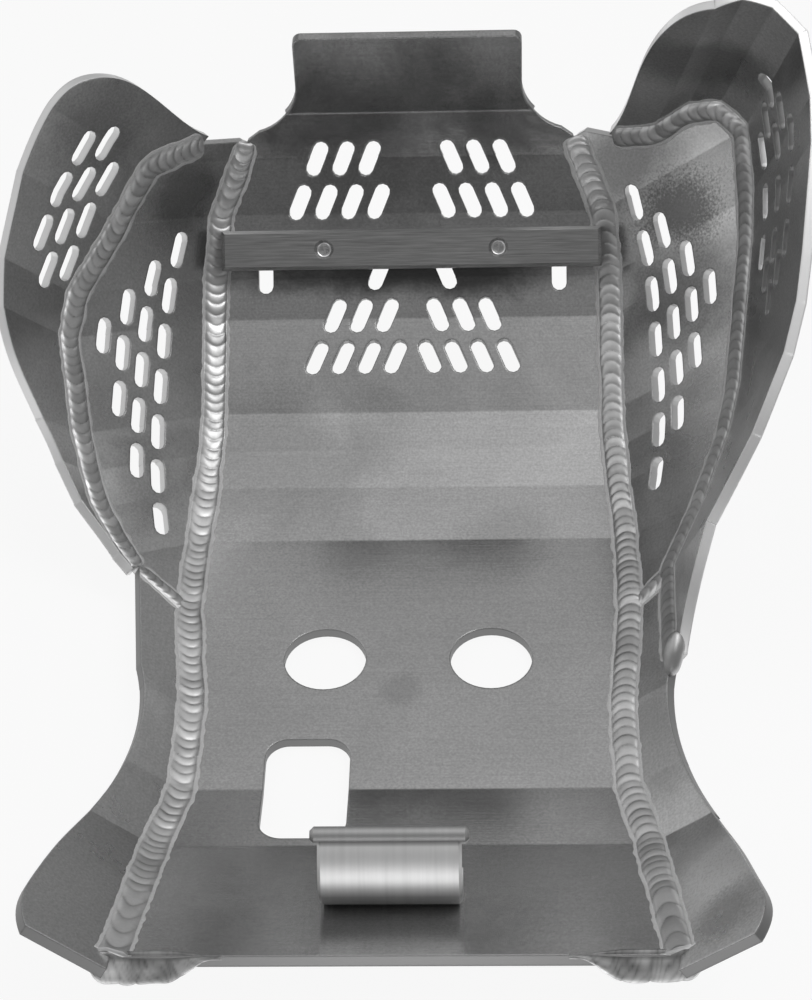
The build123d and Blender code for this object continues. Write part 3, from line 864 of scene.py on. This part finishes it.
def corner_bead(side, materials):
    """A smeared weld over the corner behind the pan's rear edge, running out thin at its inner end."""
    node = side + "_corner_weld"
    low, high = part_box(node)
    edge_y = low.y + corner_edge_in
    edge_z = high.z - corner_edge_down
    inward = 1 if side == "left" else -1
    start = (low.x if side == "left" else high.x) - inward * corner_overrun
    section = [Vector((0, y, z)) * mm for y, z in corner_section]
    section = rounded(section if side == "right" else section[::-1], 3)
    seed = 3.1 * len(side)
    rings = []
    crests = []
    for k in range(round((high.x - low.x) / sample_step) + 1):
        along = k * sample_step
        taper = min(1.0, max(0.0, (along - corner_taper_start) / corner_taper_length))
        scale = 1 - corner_thinning * taper * taper * (3 - 2 * taper)
        scale *= (1 - max(0.0, 1 - along / corner_overrun) ** 2) ** 0.5 * 0.9 + 0.1
        curl = corner_curl * max(0.0, 1 - along / corner_curl_length) ** 2
        ring = []
        for point in section:
            height = point.z / corner_height
            bow = height + 0.5
            # Long waves of the smear, and fine folds that only show as tone, painted in as light and
            # shade
            wave = ripple(along / (11 * mm) + 0.9 * bow * bow
                          + 0.9 * swing(along, 15 * mm, seed + bow))
            fold = ripple(along / (2.8 * mm) + 2.2 * bow + 1.2 * swing(along, 6 * mm, seed + bow))
            lump = 0.94 + 0.06 * swing(along, 9 * mm, seed + height) + 0.08 * wave
            spot = point * scale * lump
            ring.append(Vector((start + inward * along, edge_y + spot.y - 0.7 * curl,
                                edge_z + spot.z + curl)))
            bright = 0.4 * wave + 0.3 * fold + 0.4 * swing(along, 7 * mm, seed + 3 * height)
            # Its top is darker
            crests.append(max(0.0, bright * (0.4 if point.z > -1 * mm else 1.0)))
        rings.append(ring)
    piece = loft_rings(side + "_corner_bead", rings, set(), crests, materials)
    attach(piece, "root")
    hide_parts(node)


# The lump on the right wing's tail, from its upper to its lower end, and its half width and thickness
tail_top = Vector((117.6, -10.5, 32.0)) * mm
tail_tip = Vector((114.4, -25.5, 19.5)) * mm
tail_half_width = 4.6 * mm
tail_half_thickness = 4.2 * mm
tail_rings = 40
tail_steps = 24


def tail_bead(materials):
    """A lump of weld wrapped over the tail end of the right wing."""
    axis = (tail_tip - tail_top).normalized()
    wide = Vector((1, 0, 0)) - axis * axis.x
    wide.normalize()
    thick = axis.cross(wide)
    rings = []
    crests = []
    for k in range(tail_rings + 1):
        share = k / tail_rings
        girth = max(0.02, 4 * share * (1 - share)) ** 0.5
        ring = []
        for j in range(tail_steps):
            turn = 2 * pi * j / tail_steps
            lump = 1 + 0.2 * noise.noise(Vector((2 * share, cos(turn), sin(turn))))
            offset = wide * (tail_half_width * cos(turn)) + thick * (tail_half_thickness * sin(turn))
            ring.append(tail_top.lerp(tail_tip, share) + offset * girth * lump)
            crests.append(min(1.0, 0.6 * lump))
        rings.append(ring)
    piece = loft_rings("right_wing_end_bead", rings, set(), crests, materials)
    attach(piece, "root")


def make_beads():
    materials = [weld_metal(), etched_margin()]
    set_material(nodes["hook_weld"], fillet_metal())
    pan = Plate("pan")
    for side, smile in (("left", 1), ("right", -1)):
        panel = Plate(side + "_side_panel")
        wing = Plate(side + "_wing")
        flare = Plate(side + "_rear_flare")
        # The right wing reaches back over the flare
        under_wing = [panel, flare] if side == "right" else [panel]
        weld_bead(side, "pan", [pan], [panel, flare], smile, materials)
        weld_bead(side, "wing", under_wing, [wing], smile, materials)
        weld_bead(side, "flare", [panel], [flare], smile, materials)
        corner_bead(side, materials)
    tail_bead(materials)


# Studio

floor_half = 20.0
# The floor lies just under the plate, so that the two don't share a plane
floor_drop = 0.3 * mm
# How far the floor is plain white to the eye. The rest takes the shadow
white_share = 0.9

# Light levels of the world: by height, from rear to front and from left to right
height_levels = [(0.0, 0.36), (0.35, 0.41), (0.6, 0.48), (0.75, 0.56), (0.95, 0.8)]
depth_levels = [(0.0, 0.2), (0.05, 0.42), (0.22, 0.46), (0.35, 0.62), (0.5, 1.0)]
width_levels = [(0.0, 1.7), (0.15, 1.5), (0.33, 0.95), (0.5, 0.98), (0.67, 1.1), (0.8, 0.95),
                (0.92, 0.75), (1.0, 0.72)]


def make_floor():
    """A pale floor that looks white and keeps a soft shadow."""
    mesh = bpy.data.meshes.new("studio_floor")
    corners = [(x * floor_half, y * floor_half, 0) for x, y in ((-1, -1), (1, -1), (1, 1), (-1, 1))]
    mesh.from_pydata(corners, [], [(0, 1, 2, 3)])
    piece = new_piece("studio_floor", mesh)
    piece.location.z = -floor_drop
    material, tree = new_material("white_paper_floor")
    path = add(tree, "ShaderNodeLightPath").outputs
    mirrored = add(tree, "ShaderNodeMath", {"operation": "MAXIMUM"},
                   {0: path["Is Camera Ray"], 1: path["Is Glossy Ray"]})
    seen = add(tree, "ShaderNodeMath", {"operation": "MAXIMUM"},
               {0: mirrored.outputs[0], 1: path["Is Transmission Ray"]})
    share = add(tree, "ShaderNodeMath", {"operation": "MULTIPLY"},
                {0: seen.outputs[0], 1: white_share})
    paper = add(tree, "ShaderNodeBsdfDiffuse", inputs={"Color": linear("#e6e6e6")})
    white = add(tree, "ShaderNodeEmission", inputs={"Color": linear("#ffffff"), "Strength": 1.0})
    mixed = add(tree, "ShaderNodeMixShader",
                inputs={"Fac": share.outputs[0], 1: paper.outputs[0], 2: white.outputs[0]})
    add(tree, "ShaderNodeOutputMaterial", inputs={"Surface": mixed.outputs[0]})
    mesh.materials.append(material)


def make_world():
    """A soft studio: brightest overhead, mid-grey all round, dark behind the camera."""
    world = bpy.data.worlds.new("studio")
    bpy.context.scene.world = world
    world.use_nodes = True
    tree = world.node_tree
    tree.nodes.clear()
    direction = add(tree, "ShaderNodeTexCoord").outputs["Generated"]
    parts = add(tree, "ShaderNodeSeparateXYZ", inputs={0: direction}).outputs
    depth = add(tree, "ShaderNodeMath", {"operation": "MULTIPLY_ADD"},
                {0: parts["Y"], 1: 0.5, 2: 0.5})
    width = add(tree, "ShaderNodeMath", {"operation": "MULTIPLY_ADD"},
                {0: parts["X"], 1: 0.5, 2: 0.5})
    ways = ((parts["Z"], height_levels), (depth.outputs[0], depth_levels),
            (width.outputs[0], width_levels))
    height, behind, side = (
        add(tree, "ShaderNodeValToRGB", inputs={"Fac": share},
            stops=[(position, (level, level, level, 1)) for position, level in levels])
        for share, levels in ways)
    tone = add(tree, "ShaderNodeVectorMath", {"operation": "MULTIPLY"},
               {0: height.outputs["Color"], 1: behind.outputs["Color"]})
    lit = add(tree, "ShaderNodeVectorMath", {"operation": "MULTIPLY"},
              {0: tone.outputs[0], 1: side.outputs["Color"]})
    path = add(tree, "ShaderNodeLightPath").outputs
    dim = add(tree, "ShaderNodeBackground", inputs={"Color": lit.outputs[0], "Strength": 1.0})
    white = add(tree, "ShaderNodeBackground", inputs={"Color": linear("#ffffff"), "Strength": 1.0})
    mixed = add(tree, "ShaderNodeMixShader",
                inputs={"Fac": path["Is Camera Ray"], 1: dim.outputs[0], 2: white.outputs[0]})
    add(tree, "ShaderNodeOutputWorld", inputs={"Surface": mixed.outputs[0]})


def make_lamp(name, place, aim, size, power):
    """A rectangular soft light."""
    data = bpy.data.lights.new(name, "AREA")
    data.shape = "RECTANGLE"
    data.size, data.size_y = size
    data.energy = power
    lamp = bpy.data.objects.new(name, data)
    lamp.location = place
    lamp.rotation_euler = (Vector(aim) - Vector(place)).to_track_quat("-Z", "Y").to_euler()
    bpy.context.scene.collection.objects.link(lamp)


make_camera()
dress_plates()
dress_bar_and_hook()
make_beads()
make_floor()
make_world()
make_lamp("right_softbox", place=(0.6, 0.1, 1.1), aim=(0, 0, 0.05), size=(0.6, 0.6), power=3.0)
# A small card behind the hook lights its rear
make_lamp("low_card", place=(0, -0.4, 0.065), aim=(0, -0.16, 0.045), size=(0.2, 0.11), power=0.15)

scene = bpy.context.scene
scene.view_settings.view_transform = "Standard"
